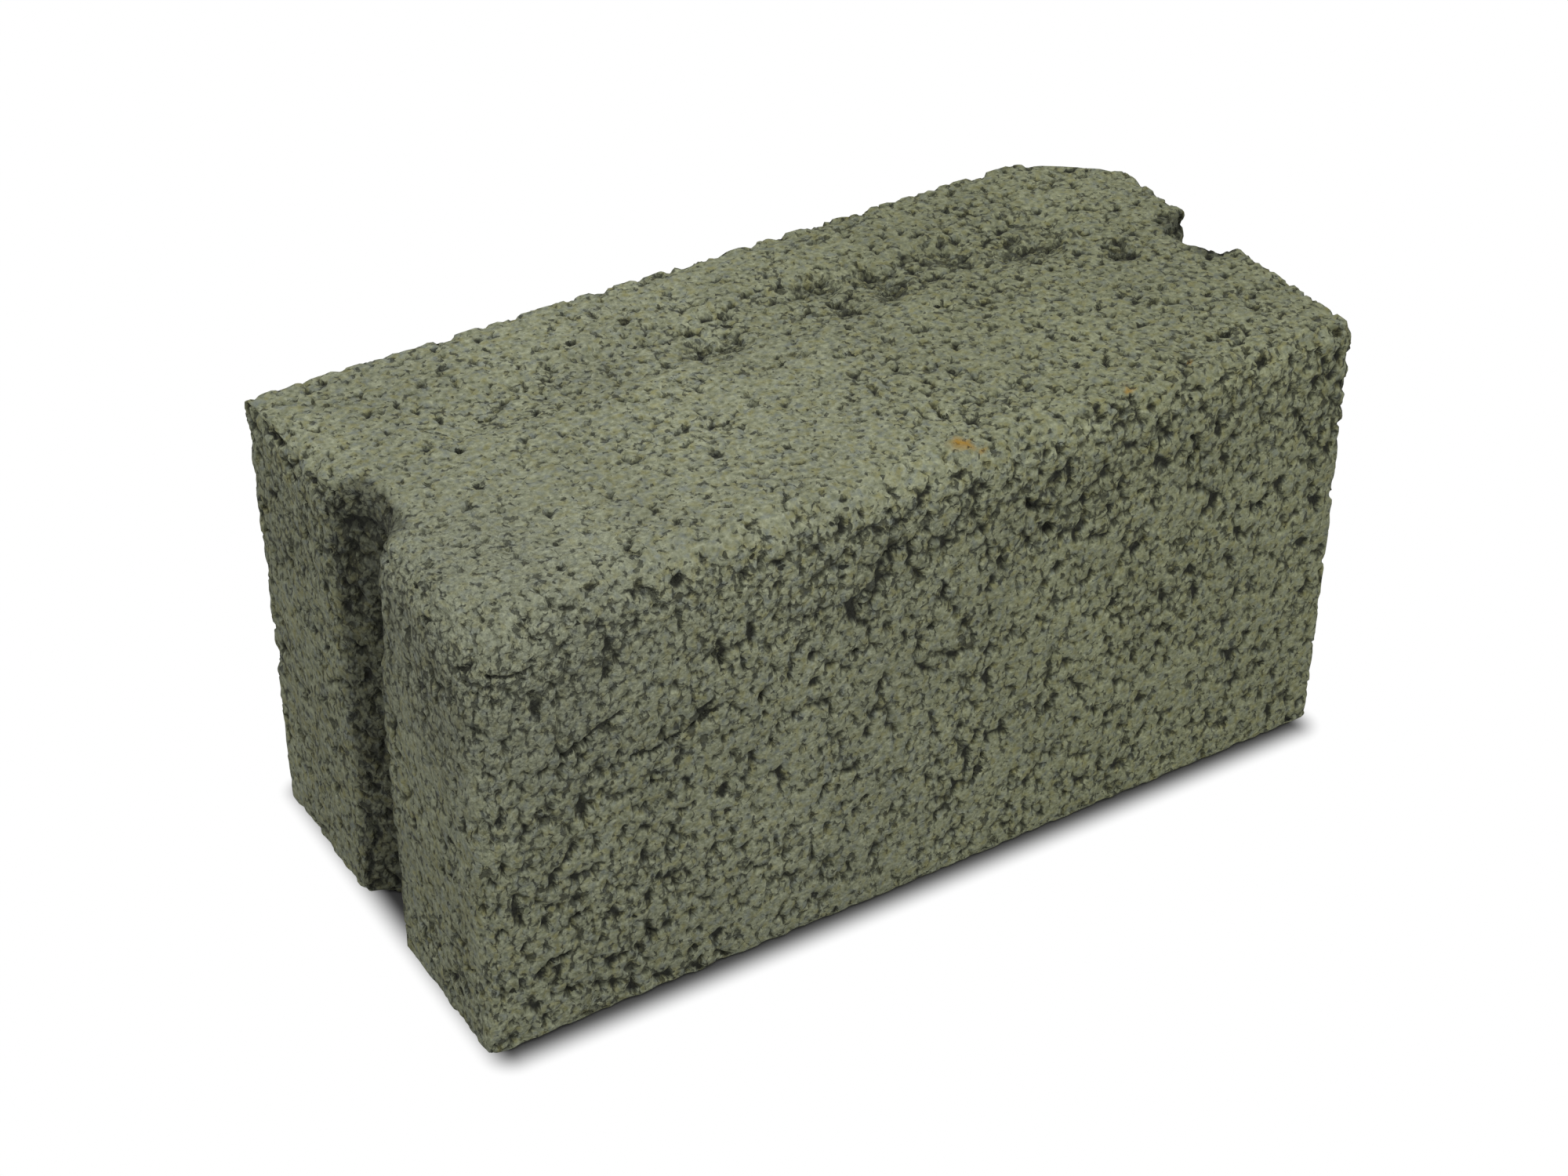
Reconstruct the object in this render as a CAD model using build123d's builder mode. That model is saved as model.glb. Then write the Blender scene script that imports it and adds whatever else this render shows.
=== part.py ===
"""A solid concrete block, cast as one piece, with a half-round mortar groove down each end.

It stands on its bed face: +X runs along its length, +Y across its width and +Z up its height.
The origin is the centre of the bed face. Sizes are in millimetres.
"""

import os

from build123d import *

# The block
LENGTH = 390.0
WIDTH = 180.0
HEIGHT = 195.0

# The mortar groove down each end: part of a circle, let into the end face
GROOVE_RADIUS = 16.5
GROOVE_DEPTH = 15.5

# Arrises that the mould and handling leave rounded
ARRIS_RADIUS = 2.5
BED_ARRIS_RADIUS = 2.0

# The worn arris along the front of the top: a bevel that runs out towards the right
BEVEL_AT_LEFT = 12.0
BEVEL_AT_RIGHT = 5.0

# The corner of the top worn off at the front left, by its reach along the edges that met there
NEAR_KNOCK_ALONG = 30.0
NEAR_KNOCK_ACROSS = 26.0
NEAR_KNOCK_DOWN = 20.0

# The corner of the top knocked off at the back right
FAR_KNOCK_ALONG = 38.0
FAR_KNOCK_ACROSS = 32.0
FAR_KNOCK_DOWN = 30.0

# The hollows along the top, where the mould was filled short, and where they are along and across it
HOLLOW_RADIUS = 12.0
HOLLOW_DEPTH = 4.0
HOLLOW_PLACES = [(-24, 30), (32, 48), (57, 38), (92, 39), (122, 27)]

left, right = -LENGTH / 2, LENGTH / 2
front, back = -WIDTH / 2, WIDTH / 2
groove_centre = right - GROOVE_DEPTH + GROOVE_RADIUS
hollow_centre = HEIGHT - HOLLOW_DEPTH + HOLLOW_RADIUS


def cut_plane(first, second, third):
    """The plane through three points whose normal leans away from the middle of the block."""
    first, second, third = Vector(first), Vector(second), Vector(third)
    normal = (second - first).cross(third - first).normalized()
    middle = Vector(0, 0, HEIGHT / 2)
    if normal.dot(first - middle) < 0:
        normal = -normal
    return Plane(origin=first, z_dir=normal)


front_bevel = cut_plane(
    (left, front + BEVEL_AT_LEFT, HEIGHT),
    (left, front, HEIGHT - BEVEL_AT_LEFT),
    (right, front + BEVEL_AT_RIGHT, HEIGHT),
)
near_knock = cut_plane(
    (left + NEAR_KNOCK_ALONG, front, HEIGHT),
    (left, front + NEAR_KNOCK_ACROSS, HEIGHT),
    (left, front, HEIGHT - NEAR_KNOCK_DOWN),
)
far_knock = cut_plane(
    (right - FAR_KNOCK_ALONG, back, HEIGHT),
    (right, back - FAR_KNOCK_ACROSS, HEIGHT),
    (right, back, HEIGHT - FAR_KNOCK_DOWN),
)

with BuildPart() as concrete_block:
    # The plan of the mould, filled to the block's height
    with BuildSketch():
        Rectangle(LENGTH, WIDTH)
        with Locations((-groove_centre, 0), (groove_centre, 0)):
            Circle(GROOVE_RADIUS, mode=Mode.SUBTRACT)
    extrude(amount=HEIGHT)

    # Wear and knocks
    for plane in (front_bevel, near_knock, far_knock):
        split(bisect_by=plane, keep=Keep.BOTTOM)

    # Rounded arrises, with the sharper ones round the bed face last
    bed = concrete_block.faces().sort_by(Axis.Z)[0]
    fillet(concrete_block.edges() - bed.edges(), ARRIS_RADIUS)
    bed = concrete_block.faces().sort_by(Axis.Z)[0]
    fillet(bed.edges(), BED_ARRIS_RADIUS)

    # Hollows in the top
    with Locations([(along, across, hollow_centre) for along, across in HOLLOW_PLACES]):
        Sphere(HOLLOW_RADIUS, mode=Mode.SUBTRACT)

concrete_block.part.label = "concrete_block"
os.makedirs("parts", exist_ok=True)
export_step(concrete_block.part, "parts/concrete_block.step")
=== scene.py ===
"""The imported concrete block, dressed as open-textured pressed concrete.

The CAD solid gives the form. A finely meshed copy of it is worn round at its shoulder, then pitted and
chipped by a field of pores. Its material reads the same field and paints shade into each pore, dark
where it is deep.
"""

import math

import bpy
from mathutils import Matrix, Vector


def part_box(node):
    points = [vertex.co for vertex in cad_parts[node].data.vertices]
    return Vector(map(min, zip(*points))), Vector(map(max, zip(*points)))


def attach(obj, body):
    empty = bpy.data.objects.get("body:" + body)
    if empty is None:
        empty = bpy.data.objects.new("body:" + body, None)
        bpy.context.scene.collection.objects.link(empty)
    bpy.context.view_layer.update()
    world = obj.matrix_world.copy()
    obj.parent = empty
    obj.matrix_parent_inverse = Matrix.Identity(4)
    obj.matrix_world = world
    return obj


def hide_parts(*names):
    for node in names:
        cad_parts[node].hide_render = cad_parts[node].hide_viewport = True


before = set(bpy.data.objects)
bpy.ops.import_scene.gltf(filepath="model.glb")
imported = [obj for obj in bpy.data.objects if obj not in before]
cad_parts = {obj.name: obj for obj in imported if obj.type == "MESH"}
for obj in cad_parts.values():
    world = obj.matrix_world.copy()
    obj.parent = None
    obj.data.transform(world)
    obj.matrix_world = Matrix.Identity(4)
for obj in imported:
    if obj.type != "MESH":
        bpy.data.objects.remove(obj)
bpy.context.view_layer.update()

MM = 0.001

# The block's own sizes, from the frame, in millimetres
top_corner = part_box("concrete_block")[1]
HALF_LENGTH = top_corner.x / MM
HALF_WIDTH = top_corner.y / MM
HEIGHT = top_corner.z / MM
NEAR_CORNER = (-HALF_LENGTH, -HALF_WIDTH, HEIGHT)

# The mesh that carries the pores
MERGE_DISTANCE = 0.01 * MM
VOXEL = 1.0 * MM
TRIANGLES = 196000

# Wear that rounds the block, in millimetres: how far from each worn edge it reaches
SHOULDER_REACH = 36.0
CORNER_REACH = 95.0
END_REACH = 32.0
UPRIGHT_REACH = 24.0
RIM_REACH = 32.0
LIP_REACH = 16.0
LIP_OFFSET = 17.5

# How strong that wear is at its most, and how many steps of smoothing it takes
SHOULDER_WEAR_SHARE = 0.9
CORNER_WEAR_SHARE = 0.8
NEAR_END_WEAR_SHARE = 0.8
FAR_END_WEAR_SHARE = 0.4
UPRIGHT_WEAR_SHARE = 0.35
RIM_WEAR_SHARE = 0.06
HOLLOW_WEAR_SHARE = 0.1
ROUNDING_STEPS = 320

# Where that wear begins and runs out, in millimetres: the shoulder's short of the right end, the left end's
# across the block, and that of the upright arrises above the bed
SHOULDER_STOP = 30.0
NEAR_END_BAND = (-24.0, -60.0)
FAR_END_BAND = (24.0, 45.0)
FAR_END_STOP = (50.0, 72.0)
FOOT_BAND = (8.0, 42.0)

# The near corner, rubbed down to a dome: the way it leans, how much is gone, and how softly that begins
CORNER_LEAN = (-0.467, -0.539, 0.7)
CORNER_LOSS = 17.0
CORNER_SOFTNESS = 26.0

# Spacing of the patterns, in millimetres
WARP_SPACING = 3.2
PORE_SPACING = 4.2
SMALL_PORE_SPACING = 2.2
GRAIN_SPACING = 2.3
SAND_SPACING = 1.5
BLUE_SAND_SPACING = 3.2
OLIVE_SAND_SPACING = 3.8
STAIN_SPACING = 45.0
CLUSTER_SPACING = 38.0
PATCH_SPACING = 11.0
RAGGED_SPACING = 5.0
LUMP_SPACING = 9.0
CHIP_SPACING = 8.0
SWELL_SPACING = 60.0
CREVICE_LENGTH = 9.0
CREVICE_WIDTH = 5.0
STREAK_LENGTH = 14.0
STREAK_WIDTH = 2.6
PORE_WIDTH_SHARE = 0.7

# How far a pattern is pulled about so that no outline is round, in millimetres
WARP = 0.65
RAGGED = 1.4

# How far apart the two kinds of coloured sand are taken from one noise, in millimetres
BLUE_SAND_SHIFT = 17.0
OLIVE_SAND_SHIFT = 71.0

# Depth of the relief, in millimetres
PIT_DEPTH = 1.6
LUMP_DEPTH = 1.2
CREVICE_DEPTH = 1.4
TROUGH_DEPTH = 1.5
MARK_DEPTH = 2.0
HOLLOW_DEPTH = 1.0
CHIP_DEPTH = 1.8
SWELL_DEPTH = 0.6

# A noise lies round its middle, mostly between these limits, and strays about a quarter from the middle
MIDDLE = 0.5
NOISE_LIMITS = (0.3, 0.7)
STRAYS = 4

# How finely a noise is broken up
PLAIN_DETAIL = 1.0
ROUGH_DETAIL = 2.0
PORE_DETAIL = 2.5
FINE_DETAIL = 3.0
PORE_ROUGHNESS = 0.55
SAND_ROUGHNESS = 0.6

# Where the concrete differs, from where that begins to where it is full. A face counts by how squarely a
# point looks that way. The rest are in millimetres: a groove across the block and from its end, the left
# part from the left end, the near corner, the upper part from the top, the trough across the block and from
# the ends, the right part along the block, the arrises, and the chips from the top
FACING_SHARES = (0.35, 0.85)
GROOVE_BAND = (22.0, 15.0)
GROOVE_START = 22.0
GROOVE_FULL = 14.0
LEFT_START = 140.0
LEFT_FULL = 30.0
CORNER_BAND = (120.0, 50.0)
UPPER_START = 65.0
UPPER_FULL = 40.0
TROUGH_PLACE = 36.0
TROUGH_BAND = (22.0, 8.0)
TROUGH_START = 35.0
TROUGH_FULL = 70.0
RIGHT_BAND = (-60.0, 100.0)
ARRIS_BAND = (9.0, 3.0)
CHIP_BAND = (12.0, 30.0)

# How open the concrete has to be for a pit, face by face: a lower level gives more pits
SIDE_LEVEL = 0.52
END_LEVEL = 0.54
TOP_LEVEL = 0.56
LEAST_LEVEL = 0.475
LEVEL_SOFTNESS = 0.03
PIT_RISE = 0.15
# How soon the shade painted into a pit is full
SHADE_RISE = 0.18
SMALL_RISE = 0.15

# How much each thing lowers or raises that level: first those that vary by themselves, then those in place
LEVEL_SHARES = {
    "crumb": -0.012, "spread": 0.08, "closed": 0.16, "coarse": -0.025, "trough": -0.012, "upper": -0.022,
}
PLACED_LEVEL_SHARES = {"mark": -0.07, "corner": 0.038, "groove": -0.03, "hollow": -0.08, "bed": 0.4}
SMALL_SIDE_SHARE = 0.02
SMALL_END_SHARE = -0.01
SMALL_CORNER_SHARE = -0.045

# What makes the concrete open, crumbly, creviced, streaked, chipped and lumpy
GAP_SHARE = 0.45
LOOSE_SHARE = 0.5
END_CRUMB_SHARE = 0.6
CRUMB_SHARE = 0.4
CRUMB_LIMITS = (0.5, 0.85)
CREVICE_LIMITS = (0.62, 0.74)
STREAK_LIMITS = (0.35, 0.65)
CHIP_LIMITS = (0.42, 0.66)
LOW_CHIP_SHARE = 0.3
EVEN_LUMP_SHARE = 0.25

# The larger pits, the hollows and the cracks of this block, in millimetres: on the front as distance along
# and height, on the top as distance along and across
FRONT_PITS = [
    (-52, 150), (-72, 100), (-120, 105), (-91, 74), (-155, 53), (-126, 29), (-52, 15), (-106, 14),
    (24, 45), (-2, 124), (111, 81), (115, 78), (155, 123), (158, 126), (166, 40), (149, 17), (51, 149),
    (55, 64), (-76, 122), (-167, 35), (-144, 45), (-30, 54), (102, 92), (-35, 127), (187, 182),
]
FRONT_CRACKS = [
    [(-130, 117), (-117, 117), (-109, 119), (-102, 122), (-95, 124)],
    [(-157, 129), (-149, 132), (-144, 135), (-132, 139)],
    [(-22, 165), (-16, 166), (-10, 168)],
    [(117, 169), (120, 161), (116, 157)],
    [(-95, 150), (-92, 141)],
    [(40, 167), (44, 161)],
    [(49, 153), (51, 149)],
    [(20, 41), (25, 52)],
    [(-174, 32), (-166, 36), (-160, 35)],
    [(82, 100), (87, 105)],
    [(-186, 176), (-178, 172), (-168, 172)],
]
TOP_PITS = [
    (65, 8), (16, -4), (-11, 4), (117, -26), (132, -30), (84, -27), (95, -40), (160, -40), (22, -59),
    (85, -56), (95, -60), (140, -67), (146, -69), (59, -61), (115, 70), (-72, 59), (-47, 61), (-10, 47),
    (-29, 44), (152, 1), (52, -22), (25, -22), (-1, -32), (-144, -69), (-132, -82), (-142, 15), (-146, -10),
]
TOP_HOLLOWS = [
    (29, 49), (36, 48), (55, 43), (58, 37), (34, 27), (55, 30), (91, 41), (94, 37), (117, 29), (127, 25),
    (-30, 32), (-18, 29), (150, 3),
]
ORANGE_STONES = [[(16, -76), (20, -80)]]
SPECKS = [(24, -84), (91, -81), (123, -77)]
SPECK_DROP = 1.0

# How far each of those reaches from its point or line, and how far its floor does, in millimetres
PIT_MARK = (4.4, 0.0)
CRACK_MARK = (2.8, 0.0)
HOLLOW_MARK = (10.0, 2.0)
HOLLOW_RIM = (15.0, 8.0)
STONE_MARK = (1.8, 1.2)
SPECK_MARK = (1.9, 1.3)
MARK_LIMITS = (0.3, 0.9)
SHALLOW_MARK_SHARE = 0.6

# Colours of the concrete
PASTE_DULL = "#71755B"
GRAIN_PALE = "#A8AC90"
BLUE_SAND = "#777F7E"
OLIVE_SAND = "#8B8752"
ORANGE_STONE = "#A5802F"
RUBBED = "#858979"
WARM_SAND = "#FFFFE0"
# Near-black painted into the pores, cracks, crevices and hollows as their shade
PAINTED_PORE_SHADE = "#13150D"

# How much of each tint shows, and how far each stain and speck dims or brightens the paste
TINT_LIMITS = (0.45, 0.75)
TINT_SHARE = 0.65
RUBBED_SHARE = 0.35
WARM_SHARE = 0.3
STAIN_SHARES = (0.9, 1.1)
DIM_SPECK_SHARES = (0.87, 0.74)
BRIGHT_SPECK_SHARES = (1.13, 1.28)
# How much darker the grooves are painted, as shade in them
GROOVE_SHADE_SHARE = 0.5
COARSE_DULL_SHARE = 0.88

# How much shade is painted into the pores: at the ragged edge of a mark, in a crevice, in a small pore,
# between the grains of a hollow, and at most, on the block and at its near corner
EDGE_RAGGED_SHARE = 1.2
EDGE_LIMITS = (1.16, 1.44)
EDGE_SHADE_SHARE = 0.95
CREVICE_SHADE_SHARE = 0.2
SMALL_PORE_SHADE_SHARE = 0.75
BETWEEN_LIMITS = (0.4, 0.6)
BETWEEN_SHARES = (1.0, 0.1)
HOLLOW_SHADE_SHARE = 0.8
DEEPEST_SHADE_SHARES = (0.96, 0.92)

# Relief finer than the mesh, in millimetres: the sand's on the block and at its near corner, then the rest,
# and how much of the grains' domes stands out where the concrete is even and where it is crumbly
SAND_RELIEF = (0.3, 0.7)
GRAIN_RELIEF = 0.35
DOME_RELIEF = 0.65
SMALL_RELIEF = -0.9
PIT_RELIEF = -1.3
STREAK_RELIEF = 0.35
EDGE_RELIEF = -1.0
DOME_SHARES = (0.3, 1.0)
CORNER_DOME_SHARE = 0.6

# How concrete takes the light
MATT_ROUGHNESS = 0.93
STONE_IOR = 1.5

# The view
CAMERA_PLACE = (-0.5263, -0.8333, 0.8024)
CAMERA_AZIMUTH = -31.71
CAMERA_ELEVATION = 35.97
CAMERA_LENS = 69.61
SENSOR_WIDTH = 36.0

# The light: its strength from all round, and the lamp's place, turn, size and power
WORLD_STRENGTH = 0.57
LAMP_PLACE = (-0.15, -0.6, 1.15)
LAMP_TILT = 30
LAMP_LEAN = -8
LAMP_SIZE = 0.9
LAMP_POWER = 5.5

# The floor, and the shadow painted on it close round the block, a darker grey that also takes the real
# shadow:
# where it starts inside the ends and the sides, and how far it reaches, in millimetres
FLOOR_SIZE = 8.0
FLOOR_GREY = "#A0A0A0"
PAINTED_SHADOW_GREY = "#606060"
SHADOW_INSET = 10.0
SHADOW_SIDE_INSET = 1.5
SHADOW_REACH = 15.0

# Nodes that the patterns are made of
MATH = "ShaderNodeMath"
VECTOR = "ShaderNodeVectorMath"
RANGE = "ShaderNodeMapRange"
NOISE = "ShaderNodeTexNoise"
CELLS = "ShaderNodeTexVoronoi"
MIX = "ShaderNodeMix"
PARTS = "ShaderNodeSeparateXYZ"
SOFT = {"interpolation_type": "SMOOTHSTEP"}
NONE_TO_ALL = (0.0, 1.0)
ALL_TO_NONE = (1.0, 0.0)
WHITE = (1.0, 1.0, 1.0, 1.0)

# The colour sockets of the node that mixes
AMOUNT, FIRST, SECOND, MIXED = 0, 6, 7, 2


def linear(hex_colour):
    """An sRGB hex colour as linear red, green, blue and alpha."""
    shares = [int(hex_colour[i:i + 2], 16) / 255 for i in (1, 3, 5)]
    return [s / 12.92 if s <= 0.04045 else ((s + 0.055) / 1.055) ** 2.4 for s in shares] + [1.0]


def add(tree, kind, inputs=(), output=0, **settings):
    """Add a node, make its settings, set or link its inputs, and return one of its outputs."""
    node = tree.nodes.new(kind)
    for name, value in settings.items():
        setattr(node, name, value)
    for key, value in inputs.items() if isinstance(inputs, dict) else enumerate(inputs):
        if isinstance(value, bpy.types.NodeSocket):
            tree.links.new(value, node.inputs[key])
        else:
            node.inputs[key].default_value = value
    return node.outputs[output] if node.outputs else node


def pore_field(tree, place, facing, mark, hollow, detail):
    """How open the concrete is at a place on the block, in millimetres, on a face that looks a given way.

    A mark or a hollow opens it further. The field is built alike in the mesh's nodes and in the material's,
    where it has more detail.
    """
    x, y, z = (add(tree, PARTS, [place], i) for i in range(3))
    size_x = add(tree, MATH, [x], operation="ABSOLUTE")
    size_y = add(tree, MATH, [y], operation="ABSOLUTE")
    look_x, look_z = (add(tree, PARTS, [facing], i) for i in (0, 2))
    look_x = add(tree, MATH, [look_x], operation="ABSOLUTE")

    # Which face it is on: the struck top, the bed, a grooved end, or else a long side
    top = add(tree, RANGE, [look_z, *FACING_SHARES], **SOFT)
    bed = add(tree, RANGE, [look_z, *(-share for share in FACING_SHARES)], **SOFT)
    end = add(tree, RANGE, [look_x, *FACING_SHARES], **SOFT)
    side = add(tree, MATH, [1.0, top], operation="SUBTRACT")
    inside = add(tree, RANGE, [size_y, *GROOVE_BAND], **SOFT)
    groove = add(tree, RANGE, [size_x, HALF_LENGTH - GROOVE_START, HALF_LENGTH - GROOVE_FULL], **SOFT)
    groove = add(tree, MATH, [inside, groove], operation="MULTIPLY")

    # Where the concrete is crumbly: in patches, at the left, high on the sides, in the grooves, at the near
    # corner, in the hollows, and along a shallow trough on the top
    cluster = add(tree, NOISE, {"Vector": place, "Scale": 1 / CLUSTER_SPACING, "Detail": ROUGH_DETAIL})
    left = add(tree, RANGE, [x, -HALF_LENGTH + LEFT_START, -HALF_LENGTH + LEFT_FULL])
    even = add(tree, RANGE, [end, *NONE_TO_ALL, 1.0, END_CRUMB_SHARE])
    left = add(tree, MATH, [left, even], operation="MULTIPLY")
    left = add(tree, MATH, [left, side], operation="MULTIPLY")
    corner = add(tree, VECTOR, [place, NEAR_CORNER], "Value", operation="DISTANCE")
    corner = add(tree, RANGE, [corner, *CORNER_BAND], **SOFT)
    upper = add(tree, RANGE, [z, HEIGHT - UPPER_START, HEIGHT - UPPER_FULL], **SOFT)
    upper = add(tree, MATH, [upper, side], operation="MULTIPLY")
    across = add(tree, MATH, [y, TROUGH_PLACE], operation="SUBTRACT")
    across = add(tree, MATH, [across], operation="ABSOLUTE")
    trough = add(tree, RANGE, [across, *TROUGH_BAND], **SOFT)
    along = add(tree, RANGE, [size_x, HALF_LENGTH - TROUGH_START, HALF_LENGTH - TROUGH_FULL], **SOFT)
    trough = add(tree, MATH, [trough, along], operation="MULTIPLY")
    trough = add(tree, MATH, [trough, top], operation="MULTIPLY")
    crumb = left
    for other in (upper, trough, groove, corner, hollow):
        crumb = add(tree, MATH, [crumb, other], operation="MAXIMUM")
    crumb = add(tree, MATH, [crumb, CRUMB_SHARE, cluster], operation="MULTIPLY_ADD")
    crumb = add(tree, RANGE, [crumb, *CRUMB_LIMITS], **SOFT)
    right = add(tree, RANGE, [x, *RIGHT_BAND], **SOFT)
    coarse = add(tree, MATH, [right, top], operation="MULTIPLY")

    # How open it is for pits and for small pores, which are where the grains leave gaps
    warp = add(tree, NOISE, {"Vector": place, "Scale": 1 / WARP_SPACING, "Detail": ROUGH_DETAIL}, 1)
    warp = add(tree, VECTOR, [warp, [MIDDLE] * 3], operation="SUBTRACT")
    warped = add(tree, VECTOR, [warp, [STRAYS * WARP] * 3, place], operation="MULTIPLY_ADD")
    tall = add(tree, VECTOR, [warped, (1.0, 1.0, PORE_WIDTH_SHARE)], operation="MULTIPLY")
    open_shares = []
    for spacing in (PORE_SPACING, SMALL_PORE_SPACING):
        gap = add(tree, CELLS, {"Vector": tall, "Scale": 1 / spacing}, feature="F1")
        loose = add(
            tree,
            NOISE,
            {"Vector": tall, "Scale": 1 / spacing, "Detail": detail, "Roughness": PORE_ROUGHNESS},
        )
        loose = add(tree, MATH, [loose, LOOSE_SHARE], operation="MULTIPLY")
        open_shares.append(add(tree, MATH, [gap, GAP_SHARE, loose], operation="MULTIPLY_ADD"))
    dome = add(tree, MATH, [1.0, gap], operation="SUBTRACT")

    # The level that it has to reach for a pit, and the pits and small pores that this gives
    level = add(tree, RANGE, [top, *NONE_TO_ALL, SIDE_LEVEL, TOP_LEVEL])
    level = add(tree, MATH, [end, END_LEVEL - SIDE_LEVEL, level], operation="MULTIPLY_ADD")
    spread = add(tree, MATH, [MIDDLE, cluster], operation="SUBTRACT")
    closed = add(tree, NOISE, {"Vector": place, "Scale": 1 / PATCH_SPACING, "Detail": PLAIN_DETAIL})
    closed = add(tree, MATH, [closed, MIDDLE], operation="SUBTRACT")
    amounts = {
        "crumb": crumb, "spread": spread, "closed": closed, "coarse": coarse, "trough": trough,
        "upper": upper, "mark": mark, "corner": corner, "groove": groove, "hollow": hollow, "bed": bed,
    }
    for name, share in LEVEL_SHARES.items():
        level = add(tree, MATH, [amounts[name], share, level], operation="MULTIPLY_ADD")
    level = add(tree, MATH, [level, LEAST_LEVEL, LEVEL_SOFTNESS], operation="SMOOTH_MAX")
    for name, share in PLACED_LEVEL_SHARES.items():
        level = add(tree, MATH, [amounts[name], share, level], operation="MULTIPLY_ADD")
    deep = add(tree, MATH, [level, PIT_RISE], operation="ADD")
    pit = add(tree, RANGE, [open_shares[0], level, deep], **SOFT)
    # How much shade the material paints into a pit, darkest at its heart
    heart = add(tree, MATH, [level, SHADE_RISE], operation="ADD")
    shade = add(tree, RANGE, [open_shares[0], level, heart], **SOFT)
    small_level = add(tree, RANGE, [end, *NONE_TO_ALL, SMALL_SIDE_SHARE, SMALL_END_SHARE])
    small_level = add(tree, MATH, [corner, SMALL_CORNER_SHARE, small_level], operation="MULTIPLY_ADD")
    small_level = add(tree, MATH, [small_level, level], operation="ADD")
    small_deep = add(tree, MATH, [small_level, SMALL_RISE], operation="ADD")
    small = add(tree, RANGE, [open_shares[1], small_level, small_deep], **SOFT)

    # Crevices along the length, where it is crumbly
    stretch = (1 / CREVICE_LENGTH, 1 / CREVICE_LENGTH, 1 / CREVICE_WIDTH)
    long_way = add(tree, VECTOR, [warped, stretch], operation="MULTIPLY")
    crevice = add(tree, NOISE, {"Vector": long_way, "Scale": 1.0, "Detail": ROUGH_DETAIL})
    crevice = add(tree, RANGE, [crevice, *CREVICE_LIMITS], **SOFT)
    crevice = add(tree, MATH, [crevice, crumb], operation="MULTIPLY")
    open_face = add(tree, MATH, [1.0, groove], operation="SUBTRACT")
    crevice = add(tree, MATH, [crevice, open_face], operation="MULTIPLY")

    # Streaks that the mould dragged down the ends
    stretch = (1 / STREAK_WIDTH, 1 / STREAK_WIDTH, 1 / STREAK_LENGTH)
    streak = add(tree, VECTOR, [place, stretch], operation="MULTIPLY")
    streak = add(tree, NOISE, {"Vector": streak, "Scale": 1.0, "Detail": ROUGH_DETAIL})
    streak = add(tree, RANGE, [streak, *STREAK_LIMITS])
    streak = add(tree, MATH, [streak, end], operation="MULTIPLY")

    return {
        "groove": groove,
        "corner": corner,
        "trough": trough,
        "right": right,
        "coarse": coarse,
        "crumb": crumb,
        "pit": pit,
        "shade": shade,
        "small": small,
        "dome": dome,
        "crevice": crevice,
        "streak": streak,
    }


def guide(name, lines):
    """A helper object of broken lines that marks are pressed in along; a line may be one point."""
    points = []
    edges = []
    for line in lines:
        edges += [(len(points) + i, len(points) + i + 1) for i in range(len(line) - 1)]
        points += [[value * MM for value in point] for point in line]
    mesh = bpy.data.meshes.new(name)
    mesh.from_pydata(points, edges, [])
    helper = bpy.data.objects.new(name, mesh)
    bpy.context.scene.collection.objects.link(helper)
    return helper


def pressed_along(tree, helper, place, element, reach, floor):
    """How far a mark along a helper's points or edges is pressed in: 1 within its floor, 0 at its reach."""
    lines = add(tree, "GeometryNodeObjectInfo", {"Object": helper}, "Geometry")
    spot = add(tree, VECTOR, {0: place, "Scale": MM}, operation="SCALE")
    away = add(
        tree,
        "GeometryNodeProximity",
        {"Geometry": lines, "Sample Position": spot},
        "Distance",
        target_element=element,
    )
    return add(tree, RANGE, [away, reach * MM, floor * MM], **SOFT)


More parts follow.
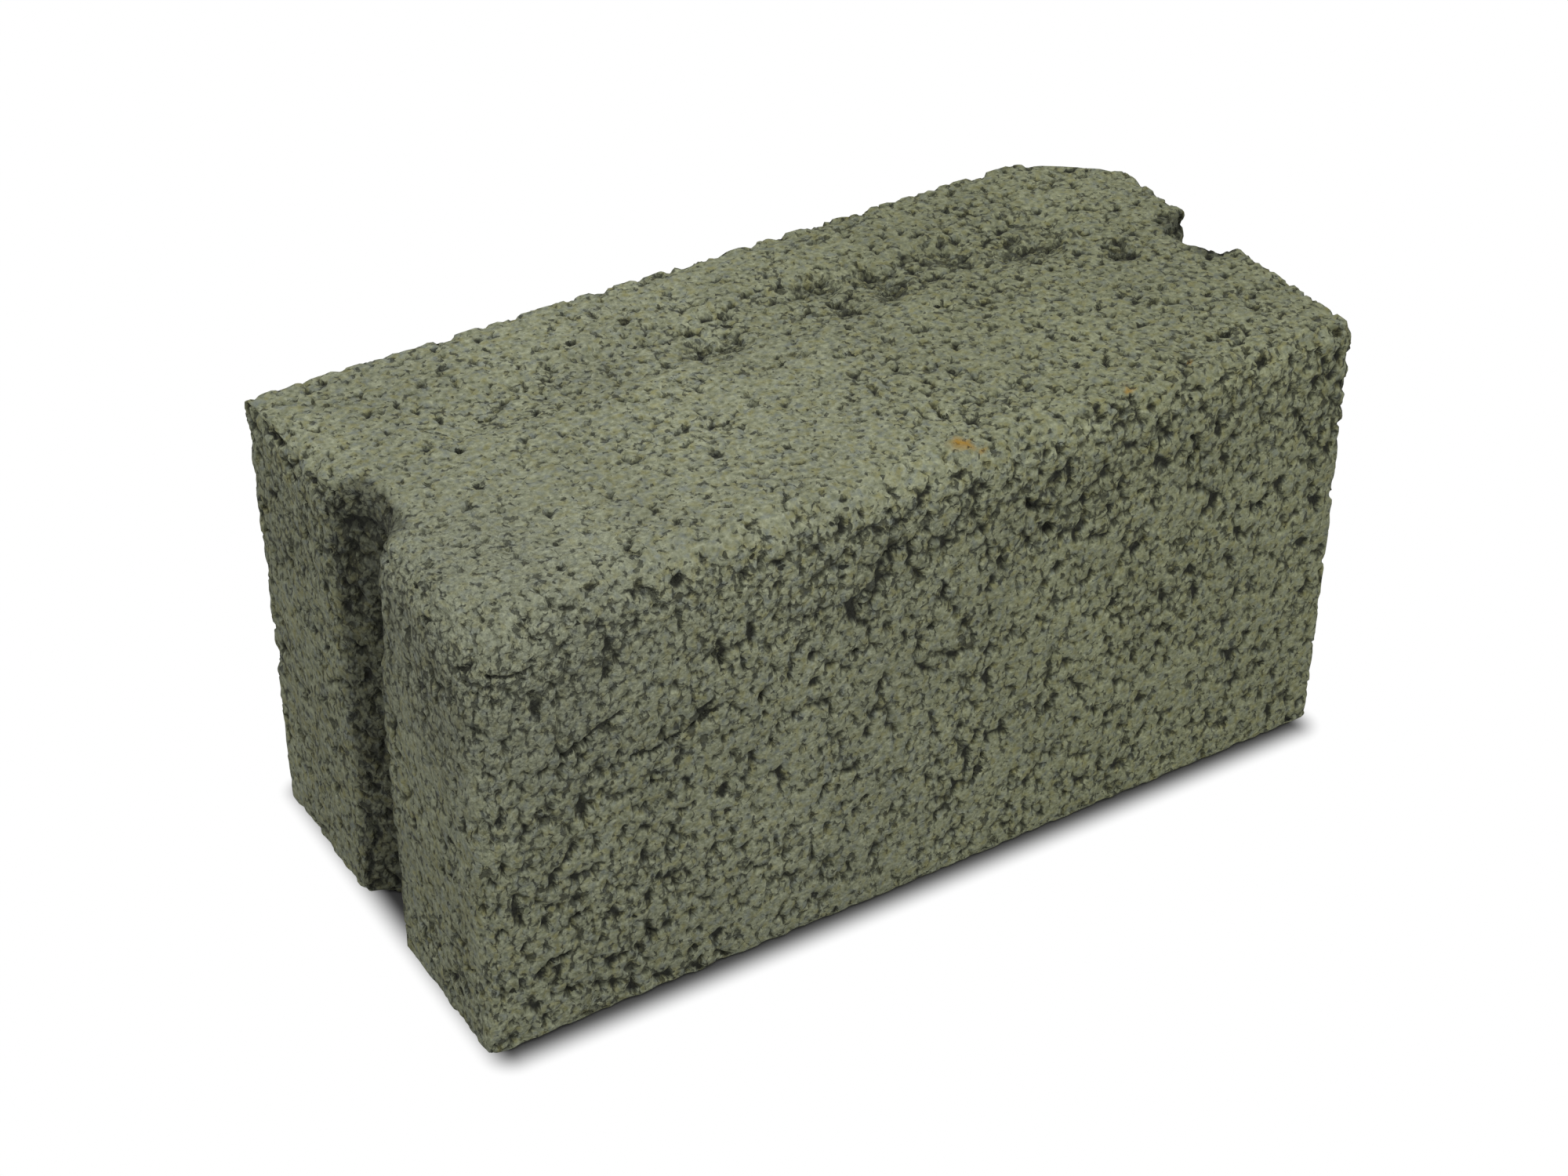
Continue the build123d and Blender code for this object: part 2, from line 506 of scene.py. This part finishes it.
def wear_and_pores(pits, cracks, hollows, stones, specks):
    """The node group that rounds the worn places, notes where each point was, and presses the pores in."""
    tree = bpy.data.node_groups.new("wear_and_pores", "GeometryNodeTree")
    tree.interface.new_socket("Geometry", in_out="INPUT", socket_type="NodeSocketGeometry")
    tree.interface.new_socket("Geometry", in_out="OUTPUT", socket_type="NodeSocketGeometry")
    mesh = add(tree, "NodeGroupInput")
    position = add(tree, "GeometryNodeInputPosition")
    place = add(tree, VECTOR, {0: position, "Scale": 1 / MM}, operation="SCALE")
    x, y, z = (add(tree, PARTS, [place], i) for i in range(3))

    # Rounding by wear: most at the near corner, along the front shoulder less and less to the right, along
    # the top of the left end, down the near upright arris, round the rim of the left groove, down its far
    # lip, and round the hollows in the top
    gap_left = add(tree, MATH, [x, HALF_LENGTH], operation="ADD")
    gap_front = add(tree, MATH, [y, HALF_WIDTH], operation="ADD")
    gap_top = add(tree, MATH, [HEIGHT, z], operation="SUBTRACT")
    corner = add(tree, VECTOR, [place, NEAR_CORNER], "Value", operation="DISTANCE")
    worn = add(tree, RANGE, [corner, CORNER_REACH, CORNER_REACH / 2, 0.0, CORNER_WEAR_SHARE], **SOFT)
    shoulder_stop = HALF_LENGTH - SHOULDER_STOP
    shoulder = add(tree, RANGE, [x, -HALF_LENGTH, shoulder_stop, SHOULDER_WEAR_SHARE, 0.0])
    nearer = add(tree, RANGE, [y, *NEAR_END_BAND, 0.0, NEAR_END_WEAR_SHARE])
    farther = add(tree, RANGE, [y, *FAR_END_BAND, 0.0, FAR_END_WEAR_SHARE])
    kept = add(tree, RANGE, [y, *FAR_END_STOP, *ALL_TO_NONE])
    farther = add(tree, MATH, [farther, kept], operation="MULTIPLY")
    end = add(tree, MATH, [nearer, farther], operation="MAXIMUM")
    upright = add(tree, RANGE, [z, *FOOT_BAND, 0.0, UPRIGHT_WEAR_SHARE], **SOFT)
    for gap, other, reach, share in (
        (gap_front, gap_top, SHOULDER_REACH, shoulder),
        (gap_left, gap_top, END_REACH, end),
        (gap_left, gap_front, UPRIGHT_REACH, upright),
    ):
        edge = add(tree, MATH, [gap, other], operation="MAXIMUM")
        edge = add(tree, RANGE, [edge, reach, reach / 2], **SOFT)
        edge = add(tree, MATH, [edge, share], operation="MULTIPLY")
        worn = add(tree, MATH, [worn, edge], operation="MAXIMUM")
    plan = add(tree, VECTOR, [place, (1.0, 1.0, 0.0)], operation="MULTIPLY")
    for middle, point, reach, share in (
        ((-HALF_LENGTH, 0.0, HEIGHT), place, RIM_REACH, RIM_WEAR_SHARE),
        ((-HALF_LENGTH, LIP_OFFSET, 0.0), plan, LIP_REACH, upright),
    ):
        rim = add(tree, VECTOR, [point, middle], "Value", operation="DISTANCE")
        rim = add(tree, RANGE, [rim, reach, reach / 2, 0.0, share], **SOFT)
        worn = add(tree, MATH, [worn, rim], operation="MAXIMUM")
    hollow_rim = pressed_along(tree, hollows, place, "POINTS", *HOLLOW_RIM)
    hollow_rim = add(tree, MATH, [hollow_rim, HOLLOW_WEAR_SHARE], operation="MULTIPLY")
    worn = add(tree, MATH, [worn, hollow_rim], operation="MAXIMUM")
    rounded = add(
        tree,
        "GeometryNodeBlurAttribute",
        {"Value": position, "Iterations": ROUNDING_STEPS, "Weight": worn},
        data_type="FLOAT_VECTOR",
    )

    # The near corner, rubbed down to a dome
    corner_tip = sum(a * b for a, b in zip(CORNER_LEAN, NEAR_CORNER))
    rise = add(tree, VECTOR, [rounded, [c / MM for c in CORNER_LEAN]], "Value", operation="DOT_PRODUCT")
    rise = add(tree, MATH, [rise, corner_tip - CORNER_LOSS], operation="SUBTRACT")
    rubbed = add(tree, MATH, [rise, 0.0, CORNER_SOFTNESS], operation="SMOOTH_MAX")
    rubbed = add(tree, MATH, [rubbed, -MM], operation="MULTIPLY")
    rubbed = add(tree, VECTOR, {0: CORNER_LEAN, "Scale": rubbed}, operation="SCALE")
    rounded = add(tree, VECTOR, [rounded, rubbed], operation="ADD")

    note = {"data_type": "FLOAT_VECTOR", "domain": "POINT"}
    keep = "GeometryNodeStoreNamedAttribute"
    mesh = add(tree, keep, {"Geometry": mesh, "Name": "cast_place", "Value": place}, **note)
    mesh = add(tree, "GeometryNodeSetPosition", {"Geometry": mesh, "Position": rounded})

    # The marks of this block, noted with the way that each point faces before the pores
    place = add(tree, "GeometryNodeInputNamedAttribute", {"Name": "cast_place"}, data_type="FLOAT_VECTOR")
    x, y, z = (add(tree, PARTS, [place], i) for i in range(3))
    gap_top = add(tree, MATH, [HEIGHT, z], operation="SUBTRACT")
    normal = add(tree, "GeometryNodeInputNormal")
    ragged = add(tree, NOISE, {"Vector": place, "Scale": 1 / RAGGED_SPACING, "Detail": ROUGH_DETAIL}, 1)
    ragged = add(tree, VECTOR, [ragged, [MIDDLE] * 3], operation="SUBTRACT")
    ragged = add(tree, VECTOR, [ragged, [STRAYS * RAGGED] * 3, place], operation="MULTIPLY_ADD")
    pit = pressed_along(tree, pits, ragged, "POINTS", *PIT_MARK)
    crack = pressed_along(tree, cracks, ragged, "EDGES", *CRACK_MARK)
    mark = add(tree, MATH, [pit, crack], operation="MAXIMUM")
    hollow = pressed_along(tree, hollows, place, "POINTS", *HOLLOW_MARK)
    stone = pressed_along(tree, stones, place, "EDGES", *STONE_MARK)
    speck = pressed_along(tree, specks, place, "POINTS", *SPECK_MARK)
    stone = add(tree, MATH, [stone, speck], operation="MAXIMUM")
    field = pore_field(tree, place, normal, mark, hollow, PLAIN_DETAIL)
    deep_mark = add(tree, RANGE, [field["pit"], *NONE_TO_ALL, SHALLOW_MARK_SHARE, 1.0])
    pressed = add(tree, RANGE, [mark, *MARK_LIMITS], **SOFT)
    deep_mark = add(tree, MATH, [deep_mark, pressed], operation="MULTIPLY")
    mesh = add(tree, keep, {"Geometry": mesh, "Name": "cast_facing", "Value": normal}, **note)
    note["data_type"] = "FLOAT"
    for name, value in (("mark", mark), ("hollow", hollow), ("stone", stone)):
        mesh = add(tree, keep, {"Geometry": mesh, "Name": name, "Value": value}, **note)

    # Chips along the arrises, where a point is close to two faces at once, most of them along the top
    gaps = [add(tree, MATH, [gap_top, z], operation="MINIMUM")]
    for value, half in ((x, HALF_LENGTH), (y, HALF_WIDTH)):
        size = add(tree, MATH, [value], operation="ABSOLUTE")
        gaps.append(add(tree, MATH, [half, size], operation="SUBTRACT"))
    near = add(tree, MATH, [gaps[0], gaps[1]], operation="MAXIMUM")
    for i, j in ((0, 2), (1, 2)):
        pair = add(tree, MATH, [gaps[i], gaps[j]], operation="MAXIMUM")
        near = add(tree, MATH, [near, pair], operation="MINIMUM")
    arris = add(tree, RANGE, [near, *ARRIS_BAND], **SOFT)
    chip = add(tree, NOISE, {"Vector": place, "Scale": 1 / CHIP_SPACING, "Detail": ROUGH_DETAIL})
    chip = add(tree, RANGE, [chip, *CHIP_LIMITS], **SOFT)
    lower = add(tree, RANGE, [gap_top, *CHIP_BAND, 1.0, LOW_CHIP_SHARE])
    chip = add(tree, MATH, [chip, lower], operation="MULTIPLY")
    chip = add(tree, MATH, [chip, arris], operation="MULTIPLY")

    # Swells and lumps, the lumps higher where it is crumbly
    swell = add(tree, NOISE, {"Vector": place, "Scale": 1 / SWELL_SPACING, "Detail": PLAIN_DETAIL})
    lump = add(tree, NOISE, {"Vector": place, "Scale": 1 / LUMP_SPACING, "Detail": PLAIN_DETAIL})
    lump = add(tree, RANGE, [lump, *NOISE_LIMITS])
    rough = add(tree, RANGE, [field["crumb"], *NONE_TO_ALL, EVEN_LUMP_SHARE, 1.0])
    lump = add(tree, MATH, [lump, rough], operation="MULTIPLY")

    depth = add(tree, MATH, [field["pit"], PIT_DEPTH], operation="MULTIPLY")
    for amount, most in (
        (lump, LUMP_DEPTH),
        (field["crevice"], CREVICE_DEPTH),
        (field["trough"], TROUGH_DEPTH),
        (deep_mark, MARK_DEPTH),
        (hollow, HOLLOW_DEPTH),
        (chip, CHIP_DEPTH),
        (swell, SWELL_DEPTH),
    ):
        depth = add(tree, MATH, [amount, most, depth], operation="MULTIPLY_ADD")
    depth = add(tree, MATH, [depth, -MM], operation="MULTIPLY")
    inward = add(tree, VECTOR, {0: normal, "Scale": depth}, operation="SCALE")
    mesh = add(tree, "GeometryNodeSetPosition", {"Geometry": mesh, "Offset": inward})
    add(tree, "NodeGroupOutput", [mesh])
    return tree


def pressed_concrete():
    """Vibro-pressed concrete: matt grey-green paste over sand and grit, full of small pores with painted
    shade in them.
    """
    material = bpy.data.materials.new("pressed_concrete")
    material.use_nodes = True
    tree = material.node_tree
    tree.nodes.clear()
    place = add(tree, "ShaderNodeAttribute", output="Vector", attribute_name="cast_place")
    facing = add(tree, "ShaderNodeAttribute", output="Vector", attribute_name="cast_facing")
    mark = add(tree, "ShaderNodeAttribute", output="Fac", attribute_name="mark")
    hollow = add(tree, "ShaderNodeAttribute", output="Fac", attribute_name="hollow")
    stone = add(tree, "ShaderNodeAttribute", output="Fac", attribute_name="stone")
    field = pore_field(tree, place, facing, mark, hollow, PORE_DETAIL)
    colours = {"data_type": "RGBA"}
    grainy = {"Vector": place, "Detail": ROUGH_DETAIL, "Roughness": SAND_ROUGHNESS}
    tone = add(tree, NOISE, {"Scale": 1 / GRAIN_SPACING, **grainy})
    tone = add(tree, RANGE, [tone, *NOISE_LIMITS])
    sand = add(tree, NOISE, {"Scale": 1 / SAND_SPACING, **grainy})

    # Paste over sand: dull and pale from grain to grain, with bluish and olive sand showing through
    dull, pale = linear(PASTE_DULL), linear(GRAIN_PALE)
    paste = add(tree, MIX, {AMOUNT: tone, FIRST: dull, SECOND: pale}, MIXED, **colours)
    for colour, spacing, shift in (
        (BLUE_SAND, BLUE_SAND_SPACING, BLUE_SAND_SHIFT),
        (OLIVE_SAND, OLIVE_SAND_SPACING, OLIVE_SAND_SHIFT),
    ):
        apart = add(tree, VECTOR, [place, [shift] * 3], operation="ADD")
        tint = add(tree, NOISE, {"Vector": apart, "Scale": 1 / spacing, "Detail": FINE_DETAIL})
        tint = add(tree, RANGE, [tint, *TINT_LIMITS, 0.0, TINT_SHARE], **SOFT)
        paste = add(tree, MIX, {AMOUNT: tint, FIRST: paste, SECOND: linear(colour)}, MIXED, **colours)
    rubbed = add(tree, MATH, [field["corner"], RUBBED_SHARE], operation="MULTIPLY")
    paste = add(tree, MIX, {AMOUNT: rubbed, FIRST: paste, SECOND: linear(RUBBED)}, MIXED, **colours)

    # Stains and specks, duller where the top is coarse, sandier to the right, and darker in the grooves as
    # painted shade
    stain = add(tree, NOISE, {"Vector": place, "Scale": 1 / STAIN_SPACING, "Detail": FINE_DETAIL})
    stain = add(tree, RANGE, [stain, *NOISE_LIMITS, *STAIN_SHARES])
    dimmest = add(tree, RANGE, [field["corner"], *NONE_TO_ALL, *DIM_SPECK_SHARES])
    brightest = add(tree, RANGE, [field["corner"], *NONE_TO_ALL, *BRIGHT_SPECK_SHARES])
    speck = add(tree, RANGE, [sand, *NOISE_LIMITS, dimmest, brightest])
    stain = add(tree, MATH, [stain, speck], operation="MULTIPLY")
    # The grooves get painted shade here; the coarse top is duller in its own colour
    for amount, share in ((field["groove"], GROOVE_SHADE_SHARE), (field["coarse"], COARSE_DULL_SHARE)):
        duller = add(tree, RANGE, [amount, *NONE_TO_ALL, 1.0, share])
        stain = add(tree, MATH, [stain, duller], operation="MULTIPLY")
    sandy = add(tree, MATH, [field["right"], WARM_SHARE], operation="MULTIPLY")
    for amount, colour in ((1.0, stain), (sandy, linear(WARM_SAND))):
        stained = {AMOUNT: amount, FIRST: paste, SECOND: colour}
        paste = add(tree, MIX, stained, MIXED, blend_type="MULTIPLY", **colours)
    paste = add(tree, MIX, {AMOUNT: stone, FIRST: paste, SECOND: linear(ORANGE_STONE)}, MIXED, **colours)

    # Painted shade in the pores: a mark or a crevice ends at a crisp and ragged edge of it, and a hollow
    # gets it between its grains
    crisp = add(tree, MATH, [mark, field["crevice"]], operation="MAXIMUM")
    crisp = add(tree, MATH, [sand, EDGE_RAGGED_SHARE, crisp], operation="MULTIPLY_ADD")
    crisp = add(tree, RANGE, [crisp, *EDGE_LIMITS], **SOFT)
    between = add(tree, RANGE, [sand, *BETWEEN_LIMITS, *BETWEEN_SHARES])
    shaded = add(tree, MATH, [hollow, between], operation="MULTIPLY")
    dark = field["shade"]
    for amount, share in (
        (crisp, EDGE_SHADE_SHARE),
        (field["crevice"], CREVICE_SHADE_SHARE),
        (field["small"], SMALL_PORE_SHADE_SHARE),
        (shaded, HOLLOW_SHADE_SHARE),
    ):
        part = add(tree, MATH, [amount, share], operation="MULTIPLY")
        dark = add(tree, MATH, [dark, part], operation="MAXIMUM")
    most = add(tree, RANGE, [field["corner"], *NONE_TO_ALL, *DEEPEST_SHADE_SHARES])
    dark = add(tree, MATH, [dark, most], operation="MULTIPLY")
    # The pores' painted shade, mixed over the paste
    colour = add(tree, MIX, {AMOUNT: dark, FIRST: paste, SECOND: linear(PAINTED_PORE_SHADE)}, MIXED, **colours)

    # Relief finer than the mesh, in millimetres
    gritty = add(tree, RANGE, [field["corner"], *NONE_TO_ALL, *SAND_RELIEF])
    relief = add(tree, MATH, [sand, gritty], operation="MULTIPLY")
    rough = add(tree, RANGE, [field["crumb"], *NONE_TO_ALL, *DOME_SHARES])
    rough = add(tree, MATH, [rough, field["groove"]], operation="ADD")
    rough = add(tree, MATH, [field["corner"], CORNER_DOME_SHARE, rough], operation="MULTIPLY_ADD")
    dome = add(tree, MATH, [field["dome"], rough], operation="MULTIPLY")
    for amount, height in (
        (tone, GRAIN_RELIEF),
        (dome, DOME_RELIEF),
        (field["small"], SMALL_RELIEF),
        (field["pit"], PIT_RELIEF),
        (field["streak"], STREAK_RELIEF),
        (crisp, EDGE_RELIEF),
    ):
        relief = add(tree, MATH, [amount, height, relief], operation="MULTIPLY_ADD")
    bump = add(tree, "ShaderNodeBump", {"Strength": 1.0, "Distance": MM, "Height": relief})
    shader = add(
        tree,
        "ShaderNodeBsdfPrincipled",
        {"Base Color": colour, "Roughness": MATT_ROUGHNESS, "IOR": STONE_IOR, "Normal": bump},
    )
    add(tree, "ShaderNodeOutputMaterial", {"Surface": shader})
    return material


def weathered_block():
    """The block as it stands: a copy of its solid, meshed finely, worn and pitted."""
    bpy.ops.object.select_all(action="DESELECT")
    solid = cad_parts["concrete_block"]
    solid.select_set(True)
    bpy.context.view_layer.objects.active = solid
    bpy.ops.object.duplicate()
    block = bpy.context.object
    block.name = "weathered_block"
    block.parent = None
    block.data.materials.clear()

    bpy.ops.object.mode_set(mode="EDIT")
    bpy.ops.mesh.select_all(action="SELECT")
    bpy.ops.mesh.remove_doubles(threshold=MERGE_DISTANCE)
    bpy.ops.object.mode_set(mode="OBJECT")

    remesh = block.modifiers.new("fine_mesh", "REMESH")
    remesh.mode = "VOXEL"
    remesh.voxel_size = VOXEL
    bpy.ops.object.modifier_apply(modifier=remesh.name)

    pits = [[(x, -HALF_WIDTH, z)] for x, z in FRONT_PITS] + [[(x, y, HEIGHT)] for x, y in TOP_PITS]
    helpers = [
        guide("pit_guide", pits),
        guide("crack_guide", [[(x, -HALF_WIDTH, z) for x, z in line] for line in FRONT_CRACKS]),
        guide("hollow_guide", [[(x, y, HEIGHT)] for x, y in TOP_HOLLOWS]),
        guide("stone_guide", [[(x, y, HEIGHT) for x, y in line] for line in ORANGE_STONES]),
        guide("speck_guide", [[(x, y, HEIGHT - SPECK_DROP)] for x, y in SPECKS]),
    ]
    pores = block.modifiers.new("wear_and_pores", "NODES")
    pores.node_group = wear_and_pores(*helpers)
    bpy.ops.object.modifier_apply(modifier=pores.name)
    for helper in helpers:
        bpy.data.objects.remove(helper)

    thin = block.modifiers.new("thin_out", "DECIMATE")
    block.data.calc_loop_triangles()
    thin.ratio = TRIANGLES / len(block.data.loop_triangles)
    bpy.ops.object.modifier_apply(modifier=thin.name)
    bpy.ops.object.shade_smooth()

    block.data.materials.append(pressed_concrete())
    return block


def studio_floor():
    """A grey floor that looks white to the camera, but for a painted shadow close around the block: a
    darker grey that also takes the block's real shadow.
    """
    bpy.ops.object.select_all(action="DESELECT")
    bpy.ops.mesh.primitive_plane_add(size=FLOOR_SIZE)
    floor = bpy.context.object
    floor.name = "studio_floor"
    material = bpy.data.materials.new("studio_paper")
    material.use_nodes = True
    tree = material.node_tree
    tree.nodes.clear()
    place = add(tree, "ShaderNodeTexCoord", output="Object")
    place = add(tree, VECTOR, {0: place, "Scale": 1 / MM}, operation="SCALE")
    place = add(tree, VECTOR, [place], operation="ABSOLUTE")
    foot = (HALF_LENGTH - SHADOW_INSET, HALF_WIDTH - SHADOW_SIDE_INSET, 0.0)
    outside = add(tree, VECTOR, [place, foot], operation="SUBTRACT")
    outside = add(tree, VECTOR, [outside, (0.0, 0.0, 0.0)], operation="MAXIMUM")
    away = add(tree, VECTOR, [outside], "Value", operation="LENGTH")
    away = add(tree, RANGE, [away, 0.0, SHADOW_REACH], **SOFT)
    seen = add(tree, "ShaderNodeLightPath", output="Is Camera Ray")
    for kind in ("Is Glossy Ray", "Is Transmission Ray"):
        other = add(tree, "ShaderNodeLightPath", output=kind)
        seen = add(tree, MATH, [seen, other], operation="MAXIMUM")
    # Close round the block the camera sees a darker grey, a painted shadow that also takes the real one,
    # fading to plain white farther out
    white = add(tree, MATH, [seen, away], operation="MULTIPLY")
    greys = {AMOUNT: seen, FIRST: linear(FLOOR_GREY), SECOND: linear(PAINTED_SHADOW_GREY)}
    grey = add(tree, MIX, greys, MIXED, data_type="RGBA")
    paper = add(tree, "ShaderNodeBsdfDiffuse", {"Color": grey})
    glow = add(tree, "ShaderNodeEmission", {"Color": WHITE, "Strength": 1.0})
    shader = add(tree, "ShaderNodeMixShader", [white, paper, glow])
    add(tree, "ShaderNodeOutputMaterial", {"Surface": shader})
    floor.data.materials.append(material)


def studio_light():
    """Soft light from all round, and more of it from overhead on the left."""
    world = bpy.data.worlds.new("studio")
    bpy.context.scene.world = world
    world.use_nodes = True
    tree = world.node_tree
    tree.nodes.clear()
    seen = add(tree, "ShaderNodeLightPath", output="Is Camera Ray")
    strength = add(tree, RANGE, [seen, *NONE_TO_ALL, WORLD_STRENGTH, 1.0])
    sky = add(tree, "ShaderNodeBackground", {"Color": WHITE, "Strength": strength})
    add(tree, "ShaderNodeOutputWorld", {"Surface": sky})

    bpy.ops.object.light_add(type="AREA", location=LAMP_PLACE)
    lamp = bpy.context.object
    lamp.name = "softbox"
    lamp.rotation_euler = (math.radians(LAMP_TILT), math.radians(LAMP_LEAN), 0)
    lamp.data.shape = "SQUARE"
    lamp.data.size = LAMP_SIZE
    lamp.data.energy = LAMP_POWER


def camera():
    """The photograph's view."""
    bpy.ops.object.camera_add(location=CAMERA_PLACE)
    view = bpy.context.object
    view.rotation_euler = (math.radians(90 - CAMERA_ELEVATION), 0, math.radians(CAMERA_AZIMUTH))
    view.data.sensor_width = SENSOR_WIDTH
    view.data.lens = CAMERA_LENS
    bpy.context.scene.camera = view


block = weathered_block()
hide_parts("concrete_block")
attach(block, "root")
studio_floor()
studio_light()
camera()
bpy.context.scene.view_settings.view_transform = "Standard"
